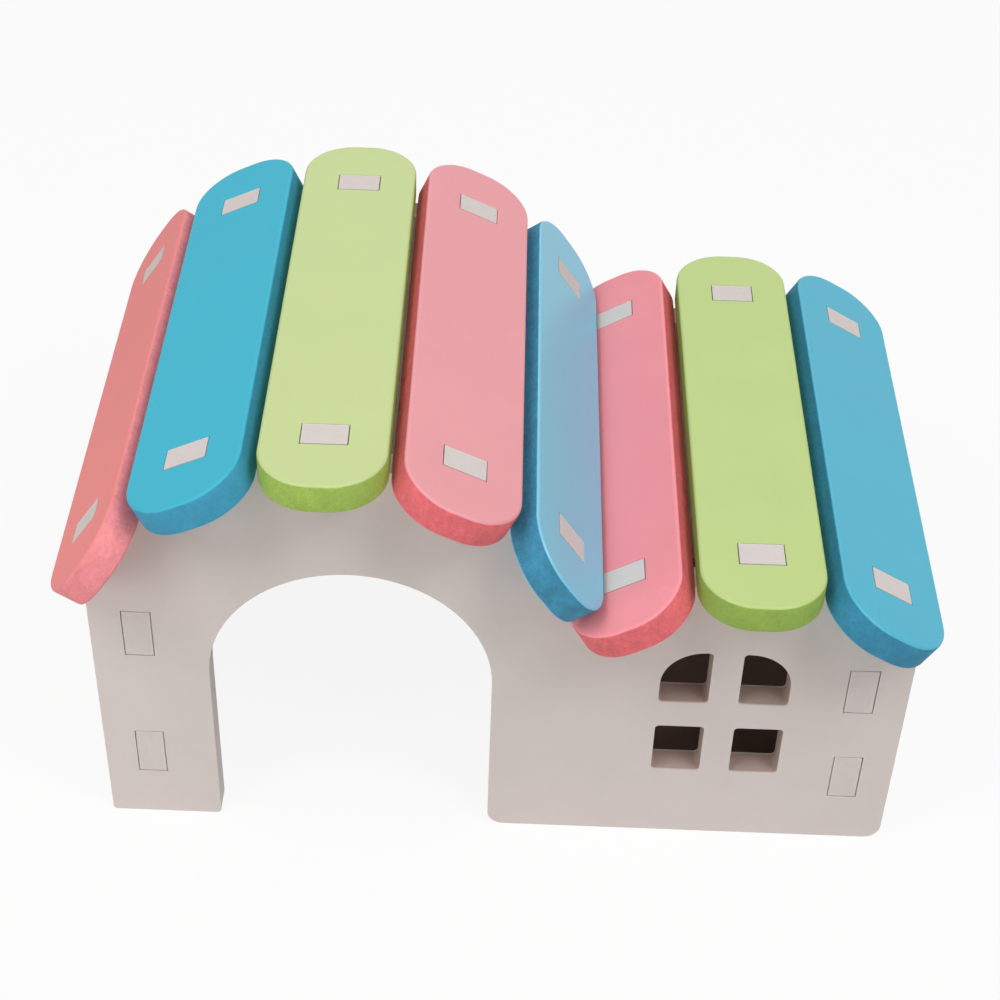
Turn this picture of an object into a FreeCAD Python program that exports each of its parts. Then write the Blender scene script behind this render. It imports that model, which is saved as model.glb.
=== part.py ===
import FreeCAD, Part
import math
import os
from collections import namedtuple

from FreeCAD import Placement, Rotation, Vector

# A hamster house that knocks together from flat plastic foam board. Two upright panels carry
# two side panels between them, and eight slats of thicker foam lie on their faceted top edges
# as the roof. The front panel has a doorway and a window, and the back panel is closed.
# X runs along the front, Y to the back and Z up. The origin is on the ground, under the
# middle of the whole house. All lengths are in millimetres and all angles in degrees.

# Boards and fits
BOARD = 5.0             # thickness of the board that the panels are cut from
SLAT_BOARD = 5.7        # thickness of the foam that the slats are cut from
FIT = 0.15              # play between a tab and its slot, on each side
TAB_ROOT = 2.0          # how far a tab's block runs back into the piece that it grows from

# Roof slats
SLAT_WIDTH = 21.15
SLAT_LENGTH = 103.0
SLAT_END_FLAT = 2.7     # straight stretch between the two round corners of an end
ROOF_TAB_WIDTH = 7.6

# Tall gable, five slats
EAVE_HEIGHT = 57.55     # underside of the tall gable's lowest slat edge
STEEP_TILT = 55.7       # outer slats
UPPER_TILT = 24.9       # slats beside the ridge slat
TALL_SEAM = 0.2         # gap between neighbouring slats, along the seats

# Low gable, three slats
LOW_TILT = 30.1
LOW_SEAM = 0.05
GABLE_SPACING = 72.6    # from one ridge to the other
LAP_CLEARANCE = 0.8     # from the low gable's first slat up to the tall gable's last
STEP_CLEARANCE = 0.3    # from the edge of the low gable's first slat to the step in the panels

# Panels
EAVE_OVERHANG = 0.1     # how far the outer slats' seats run past the panels' side edges
PANEL_SPACING = 76.6    # between the mid-planes of the front and back panels
LEG_WIDTH = 20.3        # from the left side edge to the doorway
LEG_CORNER = 0.8        # bottom corners of the narrow leg
FOOT_CORNER = 3.0       # bottom corners of the wide foot
DOOR_WIDTH = 50.0
DOOR_SPRING = 36.6      # height where the doorway's round head starts

# Window of four panes
WINDOW_INSET = 20.8     # from the right side edge to the window
WINDOW_SILL = 16.4
PANE_WIDTH = 8.8
LOWER_PANE_HEIGHT = 11.5
UPPER_PANE_HEIGHT = 12.3
PANE_CORNER = 0.8
WINDOW_HEAD_FLAT = 0.4  # straight top of an upper pane, between its round head and inner corner
MULLION = 5.3
TRANSOM = 6.0

# Side panels
SIDE_INSET = 5.85       # from the panels' side edges to the side panels' outer faces
LEFT_HEADROOM = 4.15    # from a side panel's outer top edge up to the slat over it
RIGHT_HEADROOM = 0.3
SIDE_TAB_FOOT = 11.0    # from a side panel's top or bottom edge to the nearest tab
SIDE_TAB_HEIGHT = 10.3

# Slats of each gable, from left to right: node name and tilt, rising to the right
TALL_SLATS = (
    ("roof_slat_1_pink", STEEP_TILT),
    ("roof_slat_2_blue", UPPER_TILT),
    ("roof_slat_3_green", 0.0),
    ("roof_slat_4_pink", -UPPER_TILT),
    ("roof_slat_5_blue", -STEEP_TILT),
)
LOW_SLATS = (
    ("roof_slat_6_pink", LOW_TILT),
    ("roof_slat_7_green", 0.0),
    ("roof_slat_8_blue", -LOW_TILT),
)

# A seat is one straight stretch of the panels' top edge, which carries one slat
Seat = namedtuple("Seat", "name x z tilt length")


def along(seat, distance, height=0.0):
    """Point (x, z) on a seat, by distance from its left end and height square to it."""
    angle = math.radians(seat.tilt)
    x = seat.x + distance * math.cos(angle) - height * math.sin(angle)
    z = seat.z + distance * math.sin(angle) + height * math.cos(angle)
    return x, z


def lay_seats(slats, pitch, x, z):
    """Seats of one gable, end to end, from its left eave at (x, z)."""
    seats = []
    for name, tilt in slats:
        seats.append(Seat(name, x, z, tilt, pitch))
        x, z = along(seats[-1], pitch)
    return seats


def span(slats, pitch):
    """Width of a gable from eave to eave."""
    return sum(pitch * math.cos(math.radians(tilt)) for name, tilt in slats)


def height_under(seat, x):
    """Height of the line of a seat at x."""
    return seat.z + (x - seat.x) * math.tan(math.radians(seat.tilt))


def low_eave_height(lap_seat, x):
    """Height of the low gable's eave at x, so that its first slat passes under the lap seat's slat."""
    corner_x, corner_z = along(lap_seat, (lap_seat.length + SLAT_WIDTH) / 2)
    tilt = math.radians(LOW_TILT)
    cover = SLAT_BOARD + LAP_CLEARANCE + (corner_x - x) * math.sin(tilt)
    return corner_z - cover / math.cos(tilt)


def slat_reach(seat, side):
    """Outermost x of a slat, on its left (side -1) or right (side 1)."""
    angle = abs(math.radians(seat.tilt))
    middle = along(seat, seat.length / 2)[0]
    return middle + side * (SLAT_WIDTH / 2 * math.cos(angle) + SLAT_BOARD * math.sin(angle))


def lay_roof():
    """Seats of both gables, moved so that the whole roof is centred on the origin."""
    tall_pitch = SLAT_WIDTH + TALL_SEAM
    low_pitch = SLAT_WIDTH + LOW_SEAM
    tall = lay_seats(TALL_SLATS, tall_pitch, 0.0, EAVE_HEIGHT)
    tall_middle = span(TALL_SLATS, tall_pitch) / 2
    low_x = tall_middle + GABLE_SPACING - span(LOW_SLATS, low_pitch) / 2
    low = lay_seats(LOW_SLATS, low_pitch, low_x, low_eave_height(tall[-1], low_x))
    middle = (slat_reach(tall[0], -1) + slat_reach(low[-1], 1)) / 2
    return [[seat._replace(x=seat.x - middle) for seat in gable] for gable in (tall, low)]


TALL_SEATS, LOW_SEATS = lay_roof()
SEATS = TALL_SEATS + LOW_SEATS

PANEL_LEFT = TALL_SEATS[0].x + EAVE_OVERHANG
PANEL_RIGHT = along(LOW_SEATS[-1], LOW_SEATS[-1].length)[0] - EAVE_OVERHANG
PANEL_TOP = TALL_SEATS[2].z
DOOR_LEFT = PANEL_LEFT + LEG_WIDTH
DOOR_RIGHT = DOOR_LEFT + DOOR_WIDTH
PANEL_MIDPLANE = PANEL_SPACING / 2


def rounded_outline(corners):
    """Wire in the XZ plane through (x, z, radius) corners, each rounded to its radius."""
    points = [Vector(x, 0, z) for x, z, radius in corners]
    edges = []
    starts = []
    ends = []
    for index, (x, z, radius) in enumerate(corners):
        corner = points[index]
        back = (points[index - 1] - corner).normalize()
        ahead = (points[(index + 1) % len(points)] - corner).normalize()
        if radius == 0:
            starts.append(corner)
            ends.append(corner)
            continue
        half_turn = back.getAngle(ahead) / 2
        trim = radius / math.tan(half_turn)
        bisector = (back + ahead).normalize()
        nearest = corner + bisector * (radius / math.sin(half_turn) - radius)
        starts.append(corner + back * trim)
        ends.append(corner + ahead * trim)
        edges.append(Part.Arc(starts[-1], nearest, ends[-1]).toShape())
    for index, end in enumerate(ends):
        start = starts[(index + 1) % len(starts)]
        if not end.isEqual(start, 1e-6):
            edges.append(Part.makeLine(end, start))
    return Part.Wire(Part.__sortEdges__(edges))


def plate(wire, thickness=BOARD):
    """Board cut to a wire in the XZ plane, with its faces at plus and minus half a thickness in Y."""
    blank = Part.Face(wire).extrude(Vector(0, thickness, 0))
    blank.translate(Vector(0, -thickness / 2, 0))
    return blank


def box(x_range, y_range, z_range):
    """Box between the (low, high) pairs of each axis."""
    size = [high - low for low, high in (x_range, y_range, z_range)]
    return Part.makeBox(*size, Vector(x_range[0], y_range[0], z_range[0]))


def centred(middle, size):
    """(low, high) pair of a length about its middle."""
    return middle - size / 2, middle + size / 2


def seat_placement(seat):
    """Carries a slat lying flat at the origin to its seat."""
    x, z = along(seat, seat.length / 2)
    return Placement(Vector(x, 0, z), Rotation(Vector(0, 1, 0), -seat.tilt))


def panel_blank(doorway):
    """Square-topped board with rounded bottom corners, and a round-headed doorway if it has one."""
    door_top = DOOR_SPRING + DOOR_WIDTH / 2
    blank_top = PANEL_TOP + BOARD
    door_corners = [
        (DOOR_LEFT, 0, LEG_CORNER),
        (DOOR_LEFT, door_top, DOOR_WIDTH / 2),
        (DOOR_RIGHT, door_top, DOOR_WIDTH / 2),
        (DOOR_RIGHT, 0, FOOT_CORNER),
    ]
    return plate(rounded_outline([
        (PANEL_LEFT, 0, LEG_CORNER),
        *(door_corners if doorway else []),
        (PANEL_RIGHT, 0, FOOT_CORNER),
        (PANEL_RIGHT, blank_top, 0),
        (PANEL_LEFT, blank_top, 0),
    ]))


def window_cuts():
    """Four panes, the upper two with a round outer corner."""
    cuts = []
    right = PANEL_RIGHT - WINDOW_INSET
    left = right - 2 * PANE_WIDTH - MULLION
    upper_sill = WINDOW_SILL + LOWER_PANE_HEIGHT + TRANSOM
    head_radius = PANE_WIDTH - PANE_CORNER - WINDOW_HEAD_FLAT
    rows = (
        (WINDOW_SILL, LOWER_PANE_HEIGHT, PANE_CORNER),
        (upper_sill, UPPER_PANE_HEIGHT, head_radius),
    )
    for sill, height, outer_corner in rows:
        for outer, inner in ((left, left + PANE_WIDTH), (right, right - PANE_WIDTH)):
            cuts.append(plate(rounded_outline([
                (outer, sill, PANE_CORNER),
                (inner, sill, PANE_CORNER),
                (inner, sill + height, PANE_CORNER),
                (outer, sill + height, outer_corner),
            ]), 2 * BOARD))
    return cuts


def under_roof():
    """Block of everything below the roof line, with the step beside the low gable's first slat."""
    step = (LOW_SEATS[0].length - SLAT_WIDTH) / 2 - STEP_CLEARANCE
    step_foot = along(LOW_SEATS[0], step)
    step_top = along(LOW_SEATS[0], step, SLAT_BOARD)
    line = [(PANEL_LEFT, height_under(TALL_SEATS[0], PANEL_LEFT))]
    line += [(seat.x, seat.z) for seat in TALL_SEATS[1:]]
    line.append((step_top[0], height_under(TALL_SEATS[-1], step_top[0])))
    line += [step_top, step_foot]
    line += [(seat.x, seat.z) for seat in LOW_SEATS[1:]]
    line.append((PANEL_RIGHT, height_under(LOW_SEATS[-1], PANEL_RIGHT)))
    ground = [(PANEL_RIGHT, -BOARD), (PANEL_LEFT, -BOARD)]
    corners = [(x, z, 0) for x, z in line + ground]
    return plate(rounded_outline(corners), 2 * BOARD)


def roof_tabs():
    """One tab on each seat, up through its slat and flush with the slat's face."""
    tabs = []
    for seat in SEATS:
        tab = box(centred(0, ROOF_TAB_WIDTH), centred(0, BOARD), (-TAB_ROOT, SLAT_BOARD))
        tab.Placement = seat_placement(seat)
        tabs.append(tab)
    return tabs


def side_panel_positions():
    """Middle x and height of the left and right side panels."""
    left_outer = PANEL_LEFT + SIDE_INSET
    right_outer = PANEL_RIGHT - SIDE_INSET
    left_height = height_under(TALL_SEATS[0], left_outer) - LEFT_HEADROOM
    right_height = height_under(LOW_SEATS[-1], right_outer) - RIGHT_HEADROOM
    return (left_outer + BOARD / 2, left_height), (right_outer - BOARD / 2, right_height)


def side_tab_ranges(height):
    """(low, high) heights of the two tabs at each end of a side panel."""
    lower = (SIDE_TAB_FOOT, SIDE_TAB_FOOT + SIDE_TAB_HEIGHT)
    upper = (height - SIDE_TAB_FOOT - SIDE_TAB_HEIGHT, height - SIDE_TAB_FOOT)
    return lower, upper


def side_tab_slots():
    """Slots in an upright panel for the tabs of both side panels."""
    slots = []
    for middle, height in side_panel_positions():
        for low, high in side_tab_ranges(height):
            slots.append(box(centred(middle, BOARD + 2 * FIT), (-BOARD, BOARD), (low - FIT, high + FIT)))
    return slots


def upright_panel(y, blank):
    """Front or back panel: a blank trimmed to the roof line, with its tabs and slots."""
    panel = blank.common(under_roof())
    panel = panel.fuse(roof_tabs()).removeSplitter()
    panel = panel.cut(side_tab_slots())
    panel.translate(Vector(0, y, 0))
    return panel


def side_panel(middle, height):
    """Side panel between the upright panels, with two tabs at each end."""
    half_length = (PANEL_SPACING - BOARD) / 2
    body = box(centred(middle, BOARD), (-half_length, half_length), (0, height))
    tabs = []
    for low, high in side_tab_ranges(height):
        for end in (-1, 1):
            reach = sorted((end * (half_length - TAB_ROOT), end * (half_length + BOARD)))
            tabs.append(box(centred(middle, BOARD), reach, (low, high)))
    return body.fuse(tabs).removeSplitter()


def roof_slat(seat):
    """Round-ended slat with a slot over each upright panel, laid on its seat."""
    half_width = SLAT_WIDTH / 2
    half_length = SLAT_LENGTH / 2
    end_radius = (SLAT_WIDTH - SLAT_END_FLAT) / 2
    outline = rounded_outline([
        (x, z, end_radius)
        for x, z in (
            (-half_width, -half_length),
            (half_width, -half_length),
            (half_width, half_length),
            (-half_width, half_length),
        )
    ])
    slat = plate(outline, SLAT_BOARD)
    slat.rotate(Vector(), Vector(1, 0, 0), 90)
    slat.translate(Vector(0, 0, SLAT_BOARD / 2))
    slot_width = centred(0, ROOF_TAB_WIDTH + 2 * FIT)
    slots = [
        box(slot_width, centred(y, BOARD + 2 * FIT), (-SLAT_BOARD, 2 * SLAT_BOARD))
        for y in (-PANEL_MIDPLANE, PANEL_MIDPLANE)
    ]
    slat = slat.cut(slots)
    slat.Placement = seat_placement(seat).multiply(slat.Placement)
    return slat


def build():
    """Every piece of the house by its node name."""
    left, right = side_panel_positions()
    front_blank = panel_blank(doorway=True).cut(window_cuts())
    back_blank = panel_blank(doorway=False)
    pieces = {
        "front_panel": upright_panel(-PANEL_MIDPLANE, front_blank),
        "back_panel": upright_panel(PANEL_MIDPLANE, back_blank),
        "left_side_panel": side_panel(*left),
        "right_side_panel": side_panel(*right),
    }
    for seat in SEATS:
        pieces[seat.name] = roof_slat(seat)
    return pieces


os.makedirs("parts", exist_ok=True)
for name, shape in build().items():
    shape.exportStep("parts/" + name + ".step")
    print(name, shape.ShapeType, len(shape.Solids), round(shape.Volume, 1), shape.isValid())
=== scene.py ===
from collections import namedtuple
import math

import bpy
from mathutils import Matrix, Vector


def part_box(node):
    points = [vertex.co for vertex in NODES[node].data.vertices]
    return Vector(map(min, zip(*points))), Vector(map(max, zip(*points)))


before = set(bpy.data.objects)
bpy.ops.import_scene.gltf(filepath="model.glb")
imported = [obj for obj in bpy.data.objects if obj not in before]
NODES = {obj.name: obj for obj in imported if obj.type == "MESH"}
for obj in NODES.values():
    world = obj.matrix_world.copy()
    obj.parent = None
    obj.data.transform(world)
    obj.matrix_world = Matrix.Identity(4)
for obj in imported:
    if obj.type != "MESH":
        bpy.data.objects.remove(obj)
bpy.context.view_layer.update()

# Looks of a knock-together hamster house: foam boards with smooth skins and open-celled cut
# edges, a pale floor, soft studio light and the photograph's camera. Lengths are in metres,
# apart from those whose names end in MM, which the boards' materials use in millimetres.

MM = 0.001

# Camera, fitted to the boards' edges, tabs and window in the photograph
PHOTO_SIZE = 1000.0
SENSOR = 36.0
FOCAL_PIXELS = 2059.6
PRINCIPAL_X = 449.5
PRINCIPAL_Y = 497.45
CAMERA_PLACE = Vector((-1.147, -296.87, 296.17)) * MM
CAMERA_YAW = math.radians(-1.650)
CAMERA_DOWN = math.radians(40.223)
CAMERA_ROLL = math.radians(0.929)
CAMERA_NEAR = 0.01
CAMERA_FAR = 20.0

# Rims of the boards
PANEL_ROUND = 0.12 * MM
SLAT_ROUND = 0.60 * MM
SLOT_SHARE = 0.20       # rounding of a slat's slots, as a share of that of its rims
SLOT_REACH = 3.2 * MM   # along the slat, from the middle of a slot to past its ends
SLOT_HALF = 5.0 * MM    # across the slat, from its middle line to past a slot's ends
RIM_STEPS = 3
RIM_ANGLE = math.radians(40)
RIM_WEIGHT = "bevel_weight_edge"
WELD_REACH = 0.001 * MM

# Size of the foam board's layers, lumps, cells and waves
SKIN_MM = 0.32          # smooth skin on each face of the foamed core
SKIN_BLEND_MM = 0.22
RAGGED_MM = 1.6         # lumps of the line where the skin meets a cut
RAGGED_DEPTH_MM = 0.16
CELL_MM = 0.26          # open cells of a cut edge
CLUMP_MM = 0.7
PATCH_MM = 3.0
CLOUD_MM = 14.0
GRAIN_MM = 0.35
WAVE_MM = 12.0

# Share by which the brightness of the colour differs between the low and high ends of each
CLUMP_SHADE = 0.42
PATCH_SHADE = 0.32
PORE_SHADE = 0.07
CLOUD_SHADE = 0.10
GRAIN_SHADE = 0.05

# Depth or height that each gives to the surface
PORE_DEEP_MM = 0.03
CLUMP_HIGH_MM = 0.06
WAVE_HIGH_MM = 0.03
GRAIN_HIGH_MM = 0.002

PORE_FROM = 0.15        # ends of a cell's slope, by distance from its middle in cell sizes
PORE_TO = 0.75
CLOUD_ROUGHNESS = 0.10
CORE_ROUGHNESS = 0.75
BOARD_IOR = 1.46
SEED_STEP = 10.0        # between the noise of one board and the next

# Colours in linear light: cores of the slats, then core and skin of the white panels
PINK_DEEP_CORE = (0.790, 0.150, 0.165)
# Slat 1's pink core, paler as painted light from the left front
PINK_CORE_PAINTED_LIGHT = (0.900, 0.290, 0.310)
BLUE_CORE = (0.050, 0.325, 0.510)
BLUE_DEEP_CORE = (0.032, 0.250, 0.410)
GREEN_CORE = (0.345, 0.510, 0.088)
GREEN_DEEP_CORE = (0.290, 0.440, 0.074)
WHITE_CORE = (0.680, 0.618, 0.595)
WHITE_SKIN = (0.695, 0.622, 0.590)
REVEAL_SHADE = (0.68, 0.56, 0.51)      # darkens and browns the core in the window's reveals
JOINT_PAINTED_LIGHT = (0.930, 0.915, 0.900)    # painted light on the walls of the side panels' tabs and of their slots, lifting the shade of the gaps
SLOT_PAINTED_LIGHT = 0.35                       # share of white in the walls of the slats' slots: painted light, lifting the shade of the gaps

# Finish of each slat. The boards differ a little, and slat 5's skin holds a painted reflection.
Finish = namedtuple("Finish", "skin core mottling roughness specular")
SLATS = {
    "roof_slat_1_pink": Finish((0.865, 0.264, 0.252), PINK_CORE_PAINTED_LIGHT, 1.3, 0.60, 0.25),
    "roof_slat_2_blue": Finish((0.048, 0.460, 0.615), BLUE_CORE, 0.9, 0.52, 0.35),
    "roof_slat_3_green": Finish((0.535, 0.640, 0.275), GREEN_CORE, 1.4, 0.45, 0.50),
    "roof_slat_4_pink": Finish((0.810, 0.338, 0.365), PINK_DEEP_CORE, 1.3, 0.45, 0.50),
    # Skin lifted and greyed: painted reflection of the pink slat beside it and of the pale
    # surroundings
    "roof_slat_5_blue": Finish((0.195, 0.570, 0.765), BLUE_DEEP_CORE, 2.0, 0.36, 0.70),
    "roof_slat_6_pink": Finish((0.915, 0.300, 0.335), PINK_DEEP_CORE, 1.4, 0.45, 0.45),
    "roof_slat_7_green": Finish((0.490, 0.620, 0.224), GREEN_DEEP_CORE, 1.0, 0.45, 0.50),
    "roof_slat_8_blue": Finish((0.070, 0.448, 0.610), BLUE_DEEP_CORE, 1.5, 0.40, 0.50),
}
PANEL = Finish(WHITE_SKIN, WHITE_CORE, 0.25, 0.55, 0.30)

# Zones of the panels, whose cut edges differ
WINDOW_ACROSS = (0.020, 0.057)         # in X and in Z, round the window and no other cut edge
WINDOW_UP = (0.012, 0.050)
SIDE_SLOTS_FROM = 0.005                # height above the feet
SIDE_SLOT_SPARE = 0.5 * MM             # beside the side panel that a slot holds
TAB_END = 0.2 * MM                     # depth of a tab's end, which shows flush with the upright

# Floor. In the closed room its colour is painted shade, dark, from a little past the doorway on.
FLOOR_SIZE = 6.0
FLOOR_WHITE = 0.90
FLOOR_PAPER = (0.82, 0.81, 0.80)
ROOM_PAINTED_SHADE = (0.30, 0.21, 0.18)
ROOM_LEFT = 0.004
ROOM_FADE = 0.014
ROOM_EDGE = 0.002

# Light
WHITE = (1.0, 1.0, 1.0)
WORLD_LIGHT = 0.123
LAMP_AIM = Vector((0.0, 0.0, 0.04))
Lamp = namedtuple("Lamp", "place size watts")
LAMPS = {
    "steep_left": Lamp((-0.50, -0.40, 1.00), 0.5, 4.8),
    "steep_right": Lamp((0.50, -0.40, 1.00), 0.5, 6.3),
    "steep_front": Lamp((0.00, -0.45, 1.10), 0.5, 0.7),
    "low_right": Lamp((1.00, -0.80, 0.45), 0.7, 1.1),
    "near_left": Lamp((-0.40, -0.30, 0.10), 0.25, 0.46),
    "back": Lamp((0.00, 0.80, 0.90), 0.8, 2.2),
}


class Tree:
    """Node tree of a material or world, with short ways to add and join nodes."""

    def __init__(self, owner):
        owner.use_nodes = True
        self.nodes = owner.node_tree.nodes
        self.links = owner.node_tree.links
        self.nodes.clear()

    def add(self, kind, inputs=None, **settings):
        """New node. An input is a value or another node's output."""
        node = self.nodes.new("ShaderNode" + kind)
        for name, value in settings.items():
            setattr(node, name, value)
        for key, value in (inputs or {}).items():
            self.feed(node.inputs[key], value)
        return node

    def feed(self, socket, value):
        """Sets a socket to a value, or links an output to it."""
        if isinstance(value, bpy.types.NodeSocket):
            self.links.new(value, socket)
        elif isinstance(value, tuple) and len(value) == 3 and socket.type == "RGBA":
            socket.default_value = (*value, 1.0)
        else:
            socket.default_value = value

    def math(self, operation, first, second=0.0):
        """Output of a math node."""
        return self.add("Math", {0: first, 1: second}, operation=operation).outputs[0]

    def mix(self, share, first, second, blend="MIX"):
        """Output of a colour mix, from first at 0 to second at 1."""
        node = self.add("Mix", {0: share, 6: first, 7: second}, data_type="RGBA", blend_type=blend)
        return node.outputs[2]

    def mix_values(self, share, first, second):
        """Output of a mix of two numbers, from first at 0 to second at 1."""
        return self.add("Mix", {0: share, 2: first, 3: second}, data_type="FLOAT").outputs[0]

    def rise(self, value, low, high):
        """Value mapped smoothly from 0 at low to 1 at high."""
        node = self.add("MapRange", {0: value, 1: low, 2: high}, interpolation_type="SMOOTHSTEP")
        return node.outputs[0]

    def noise(self, place, size_mm, detail, roughness, seed):
        """Noise with lumps of about a size, from 0 to 1 about 0.5."""
        return self.add("TexNoise", {
            "Vector": place,
            "W": seed,
            "Scale": 1.0 / size_mm,
            "Detail": detail,
            "Roughness": roughness,
        }, noise_dimensions="4D").outputs[0]

    def shade(self, colour, brightness):
        """Colour made brighter or darker by a factor."""
        return self.add("HueSaturation", {"Color": (*colour, 1.0), "Value": brightness}).outputs[0]

    def object_place(self):
        """X, Y and Z in the object's frame, in metres."""
        return self.add("SeparateXYZ", {0: self.add("TexCoord").outputs["Object"]}).outputs


def board_frame(node):
    """Turn, middle and thickness of a board. Its local Z is square to the board's faces."""
    mesh = node.data
    areas = {}
    for face in mesh.polygons:
        key = tuple(round(abs(part), 3) for part in face.normal)
        areas.setdefault(key, [0.0, face.normal.copy()])
        areas[key][0] += face.area

    # The normal points up, or to the front or left on an upright board
    normal = max(areas.values(), key=lambda entry: entry[0])[1]
    if normal.z < 0 or normal.y > 0.9 or normal.x > 0.9:
        normal = -normal
    across = normal.cross(Vector((0, 1, 0)))
    if across.length < 0.5:
        across = Vector((1, 0, 0))
    across = -across.normalized() if across.x < 0 or across.y < 0 else across.normalized()
    along = normal.cross(across)
    turn = Matrix((across, along, normal)).transposed()

    local = [turn.transposed() @ vertex.co for vertex in mesh.vertices]
    low = Vector(min(point[axis] for point in local) for axis in range(3))
    high = Vector(max(point[axis] for point in local) for axis in range(3))
    return turn, turn @ ((low + high) / 2), (high - low).z


def slot_line():
    """Distance from the middle of the house to the middle of the uprights, and so of the slots."""
    low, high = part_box("back_panel")
    return (low.y + high.y) / 2


def inside(tree, *ranges):
    """1 where each value lies between its low and high end, or else 0."""
    share = 1.0
    for value, low, high in ranges:
        past_low = tree.math("GREATER_THAN", value, low)
        short_of_high = tree.math("LESS_THAN", value, high)
        share = tree.math("MULTIPLY", share, tree.math("MULTIPLY", past_low, short_of_high))
    return share


def in_slat_slots(tree, place):
    """1 round a slat's two slots, or else 0. The place is in millimetres along and across the slat."""
    across, along, _ = tree.add("SeparateXYZ", {0: place}).outputs
    from_slot = tree.math("SUBTRACT", tree.math("ABSOLUTE", along), slot_line() / MM)
    return inside(
        tree,
        (across, -SLOT_HALF / MM, SLOT_HALF / MM),
        (from_slot, -SLOT_REACH / MM, SLOT_REACH / MM),
    )


def in_panel_slots(tree):
    """1 round an upright's slots for the side panels, or else 0."""
    across, _, up = tree.object_place()
    share = 0.0
    for side in ("left_side_panel", "right_side_panel"):
        low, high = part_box(side)
        wide = (across, low.x - SIDE_SLOT_SPARE, high.x + SIDE_SLOT_SPARE)
        share = tree.math("MAXIMUM", share, inside(tree, wide, (up, SIDE_SLOTS_FROM, high.z)))
    return share


def behind_tab_ends(tree, name):
    """1 on a side panel but for the ends of its tabs, or else 0."""
    low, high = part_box(name)
    along = tree.object_place()[1]
    return inside(tree, (along, low.y + TAB_END, high.y - TAB_END))


def at_window(tree):
    """1 in the window's zone of the front panel, or else 0."""
    across, _, up = tree.object_place()
    return inside(tree, (across, *WINDOW_ACROSS), (up, *WINDOW_UP))


def joint_light_and_reveal(tree, name, place, core, skin):
    """Core colour, with painted light in joints for light through the foam, and browner in the window.
    """
    if name in SLATS:
        slot_wall_light = tuple(SLOT_PAINTED_LIGHT + (1.0 - SLOT_PAINTED_LIGHT) * part for part in skin)
        return tree.mix(in_slat_slots(tree, place), core, slot_wall_light)
    if name.endswith("side_panel"):
        return tree.mix(behind_tab_ends(tree, name), core, JOINT_PAINTED_LIGHT)
    core = tree.mix(in_panel_slots(tree), core, JOINT_PAINTED_LIGHT)
    if name == "front_panel":
        core = tree.mix(at_window(tree), core, tree.mix(1.0, core, REVEAL_SHADE, "MULTIPLY"))
    return core


def core_surface(tree, place, finish, seed):
    """Colour and height of a cut edge, which has open cells and is finely mottled."""
    cells = tree.add("TexVoronoi", {"Vector": place, "Scale": 1.0 / CELL_MM, "Randomness": 1.0})
    pores = tree.rise(cells.outputs["Distance"], PORE_FROM, PORE_TO)
    clumps = tree.noise(place, CLUMP_MM, detail=3.0, roughness=0.6, seed=seed + 3)
    patches = tree.noise(place, PATCH_MM, detail=2.0, roughness=0.5, seed=seed + 5)
    light = tree.math("MULTIPLY", clumps, CLUMP_SHADE)
    light = tree.math("ADD", light, tree.math("MULTIPLY", patches, PATCH_SHADE))
    light = tree.math("SUBTRACT", light, tree.math("MULTIPLY", pores, PORE_SHADE))
    light = tree.math("SUBTRACT", light, (CLUMP_SHADE + PATCH_SHADE - PORE_SHADE) / 2)
    light = tree.math("MULTIPLY", light, finish.mottling)
    colour = tree.shade(finish.core, tree.math("ADD", light, 1.0))
    height = tree.math("MULTIPLY", clumps, CLUMP_HIGH_MM)
    height = tree.math("SUBTRACT", height, tree.math("MULTIPLY", pores, PORE_DEEP_MM))
    return colour, tree.math("MULTIPLY", height, finish.mottling)


def skin_surface(tree, place, finish, seed):
    """Colour, roughness and height of the skin, which has faint clouds, waves and a fine grain."""
    clouds = tree.noise(place, CLOUD_MM, detail=3.0, roughness=0.55, seed=seed + 7)
    grain = tree.noise(place, GRAIN_MM, detail=2.0, roughness=0.5, seed=seed + 9)
    wave = tree.noise(place, WAVE_MM, detail=0.0, roughness=0.4, seed=seed + 11)
    light = tree.math("MULTIPLY", clouds, CLOUD_SHADE)
    light = tree.math("ADD", light, tree.math("MULTIPLY", grain, GRAIN_SHADE))
    colour = tree.shade(finish.skin, tree.math("ADD", light, 1.0 - (CLOUD_SHADE + GRAIN_SHADE) / 2))
    rough = tree.math("MULTIPLY", clouds, CLOUD_ROUGHNESS)
    rough = tree.math("ADD", rough, finish.roughness - CLOUD_ROUGHNESS / 2)
    height = tree.math("MULTIPLY", wave, WAVE_HIGH_MM)
    height = tree.math("ADD", height, tree.math("MULTIPLY", grain, GRAIN_HIGH_MM))
    return colour, rough, height


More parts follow.
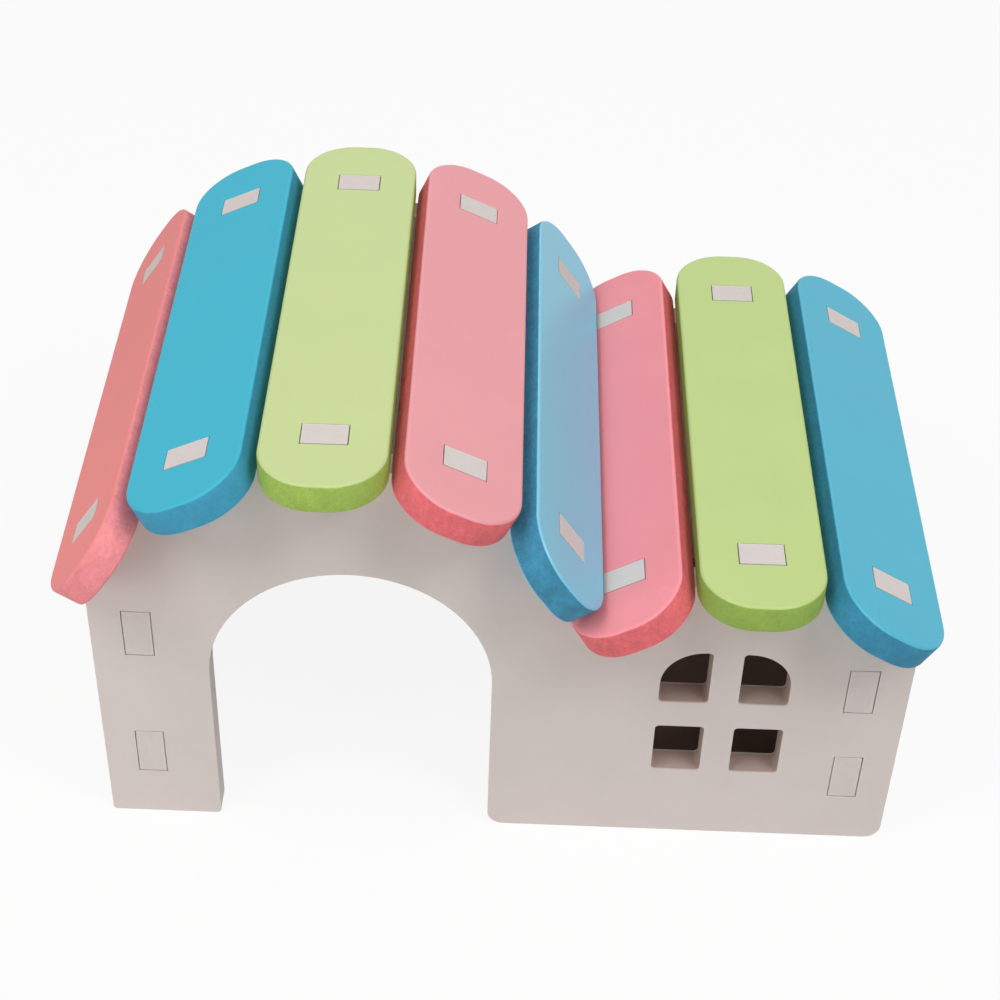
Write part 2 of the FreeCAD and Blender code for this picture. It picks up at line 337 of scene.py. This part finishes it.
def board_material(name, node, finish, seed):
    """Foam board: a smooth, faintly glossy skin over a coloured core with open cells."""
    turn, middle, thickness = board_frame(node)
    material = bpy.data.materials.new(name)
    tree = Tree(material)
    place = tree.add("Mapping", {
        "Vector": tree.add("TexCoord").outputs["Object"],
        "Location": middle,
        "Rotation": turn.to_euler(),
        "Scale": (MM, MM, MM),
    }, vector_type="TEXTURE").outputs[0]

    # The skin ends a little unevenly where the board was cut
    height = tree.add("SeparateXYZ", {0: place}).outputs[2]
    depth = tree.math("SUBTRACT", thickness / MM / 2, tree.math("ABSOLUTE", height))
    ragged = tree.noise(place, RAGGED_MM, detail=3.0, roughness=0.6, seed=seed)
    ragged = tree.math("MULTIPLY", ragged, RAGGED_DEPTH_MM)
    core_share = tree.rise(tree.math("ADD", depth, ragged), SKIN_MM, SKIN_MM + SKIN_BLEND_MM)

    core_colour, core_height = core_surface(tree, place, finish, seed)
    core_colour = joint_light_and_reveal(tree, node.name, place, core_colour, finish.skin)
    skin_colour, skin_rough, skin_height = skin_surface(tree, place, finish, seed)
    relief = tree.mix_values(core_share, skin_height, core_height)
    shader = tree.add("BsdfPrincipled", {
        "Base Color": tree.mix(core_share, skin_colour, core_colour),
        "Roughness": tree.mix_values(core_share, skin_rough, CORE_ROUGHNESS),
        "Normal": tree.add("Bump", {"Height": relief, "Strength": 1.0, "Distance": MM}).outputs[0],
        "IOR": BOARD_IOR,
        "Specular IOR Level": finish.specular,
    })
    tree.add("OutputMaterial", {"Surface": shader.outputs[0]})
    return material


def slat_rims():
    """Geometry nodes that weigh a slat's sharp edges: its rims fully and its slots' edges lightly."""
    group = bpy.data.node_groups.new("slat_rims", "GeometryNodeTree")
    for way in ("INPUT", "OUTPUT"):
        group.interface.new_socket("Geometry", in_out=way, socket_type="NodeSocketGeometry")

    def add(kind, inputs=None, **settings):
        """New node in the group. An input is a value or another node's output."""
        node = group.nodes.new(kind)
        for name, value in settings.items():
            setattr(node, name, value)
        for key, value in (inputs or {}).items():
            if isinstance(value, bpy.types.NodeSocket):
                group.links.new(value, node.inputs[key])
            else:
                node.inputs[key].default_value = value
        return node

    def number(operation, first, second=0.0):
        """Output of a math node."""
        return add("ShaderNodeMath", {0: first, 1: second}, operation=operation).outputs[0]

    angle = add("GeometryNodeInputMeshEdgeAngle").outputs[0]
    along = add("ShaderNodeSeparateXYZ", {0: add("GeometryNodeInputPosition").outputs[0]}).outputs[1]
    from_slot = number("ABSOLUTE", number("SUBTRACT", number("ABSOLUTE", along), slot_line()))
    at_slot = number("LESS_THAN", from_slot, SLOT_REACH)
    size = number("SUBTRACT", 1.0, number("MULTIPLY", at_slot, 1.0 - SLOT_SHARE))
    stored = add("GeometryNodeStoreNamedAttribute", {
        "Geometry": add("NodeGroupInput").outputs[0],
        "Name": RIM_WEIGHT,
        "Value": number("MULTIPLY", number("GREATER_THAN", angle, RIM_ANGLE), size),
    }, data_type="FLOAT", domain="EDGE")
    add("NodeGroupOutput", {0: stored.outputs[0]})
    return group


def round_rims(node, slat_group):
    """Welds a board's mesh in a modifier and rounds its rims."""
    weld = node.modifiers.new("Weld", "WELD")
    weld.merge_threshold = WELD_REACH
    is_slat = node.name in SLATS
    if is_slat:
        node.modifiers.new("Weights", "NODES").node_group = slat_group
    rims = node.modifiers.new("Rims", "BEVEL")
    rims.width = SLAT_ROUND if is_slat else PANEL_ROUND
    rims.segments = RIM_STEPS
    rims.limit_method = "WEIGHT" if is_slat else "ANGLE"
    rims.angle_limit = RIM_ANGLE
    rims.loop_slide = False
    rims.harden_normals = True


def finish_board(name, seed, slat_group):
    """Rounds one board and gives it its own material."""
    node = NODES[name]
    round_rims(node, slat_group)
    material = board_material(name + "_board", node, SLATS.get(name, PANEL), seed)
    for place in node.material_slots:
        place.material = material


def make_camera():
    """Camera at the photograph's viewpoint."""
    data = bpy.data.cameras.new("camera")
    data.sensor_width = SENSOR
    data.lens = FOCAL_PIXELS / PHOTO_SIZE * SENSOR
    data.shift_x = 0.5 - PRINCIPAL_X / PHOTO_SIZE
    data.shift_y = PRINCIPAL_Y / PHOTO_SIZE - 0.5
    data.clip_start = CAMERA_NEAR
    data.clip_end = CAMERA_FAR
    ahead = Vector((
        math.sin(CAMERA_YAW) * math.cos(CAMERA_DOWN),
        math.cos(CAMERA_YAW) * math.cos(CAMERA_DOWN),
        -math.sin(CAMERA_DOWN),
    ))
    level = Vector((math.cos(CAMERA_YAW), -math.sin(CAMERA_YAW), 0.0))
    above = level.cross(ahead)
    right = math.cos(CAMERA_ROLL) * level + math.sin(CAMERA_ROLL) * above
    up = math.cos(CAMERA_ROLL) * above - math.sin(CAMERA_ROLL) * level
    camera = bpy.data.objects.new("camera", data)
    turn = Matrix((right, up, -ahead)).transposed()
    camera.matrix_world = Matrix.Translation(CAMERA_PLACE) @ turn.to_4x4()
    bpy.context.scene.collection.objects.link(camera)
    bpy.context.scene.camera = camera


def seen_straight(tree):
    """1 for camera, glossy and transmission rays, which see the white background."""
    path = tree.add("LightPath").outputs
    either = tree.math("MAXIMUM", path["Is Camera Ray"], path["Is Glossy Ray"])
    return tree.math("MAXIMUM", either, path["Is Transmission Ray"])


def make_world():
    """Even pale surroundings, plain white where they are seen."""
    world = bpy.data.worlds.new("studio")
    tree = Tree(world)
    light = tree.add("Background", {"Color": WHITE, "Strength": WORLD_LIGHT})
    seen = tree.add("Background", {"Color": WHITE, "Strength": 1.0})
    mixed = tree.add("MixShader", {0: seen_straight(tree), 1: light.outputs[0], 2: seen.outputs[0]})
    tree.add("OutputWorld", {"Surface": mixed.outputs[0]})
    bpy.context.scene.world = world


def in_room(tree):
    """1 on the floor of the closed room, fading to 0 at its walls and towards the doorway."""
    across, deep, _ = tree.add("SeparateXYZ", {0: tree.add("NewGeometry").outputs["Position"]}).outputs
    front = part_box("front_panel")[1].y
    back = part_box("back_panel")[0].y
    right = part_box("right_side_panel")[0].x
    room = tree.rise(across, ROOM_LEFT, ROOM_LEFT + ROOM_FADE)
    room = tree.math("MULTIPLY", room, tree.rise(across, right + ROOM_EDGE, right))
    room = tree.math("MULTIPLY", room, tree.rise(deep, front - ROOM_EDGE, front))
    return tree.math("MULTIPLY", room, tree.rise(deep, back + ROOM_EDGE, back))


def make_floor():
    """Pale floor that keeps a faint shadow, with painted shade in the closed room: dark there, never
    white.
    """
    mesh = bpy.data.meshes.new("floor")
    half = FLOOR_SIZE / 2
    corners = [(-half, -half, 0), (half, -half, 0), (half, half, 0), (-half, half, 0)]
    mesh.from_pydata(corners, [], [(0, 1, 2, 3)])
    floor = bpy.data.objects.new("floor", mesh)
    bpy.context.scene.collection.objects.link(floor)
    material = bpy.data.materials.new("floor_paper")
    tree = Tree(material)
    room = in_room(tree)
    # In the closed room the floor's dark colour is painted shade, and it shows no white there
    paper = tree.add("BsdfDiffuse", {"Color": tree.mix(room, FLOOR_PAPER, ROOM_PAINTED_SHADE)})
    white = tree.add("Emission", {"Color": WHITE, "Strength": 1.0})
    share = tree.math("MULTIPLY", seen_straight(tree), FLOOR_WHITE)
    share = tree.math("MULTIPLY", share, tree.math("SUBTRACT", 1.0, room))
    mixed = tree.add("MixShader", {0: share, 1: paper.outputs[0], 2: white.outputs[0]})
    tree.add("OutputMaterial", {"Surface": mixed.outputs[0]})
    mesh.materials.append(material)


def soft_lamp(name, lamp):
    """Square lamp aimed at the house."""
    data = bpy.data.lights.new(name, "AREA")
    data.shape = "SQUARE"
    data.size = lamp.size
    data.energy = lamp.watts
    light = bpy.data.objects.new(name, data)
    bpy.context.scene.collection.objects.link(light)
    light.location = lamp.place
    light.rotation_euler = (LAMP_AIM - Vector(lamp.place)).to_track_quat("-Z", "Y").to_euler()


rims_group = slat_rims()
for index, board in enumerate(sorted(NODES)):
    finish_board(board, SEED_STEP * index, rims_group)

make_camera()
make_world()
make_floor()
for lamp_name, lamp in LAMPS.items():
    soft_lamp(lamp_name, lamp)

bpy.context.scene.view_settings.view_transform = "Standard"
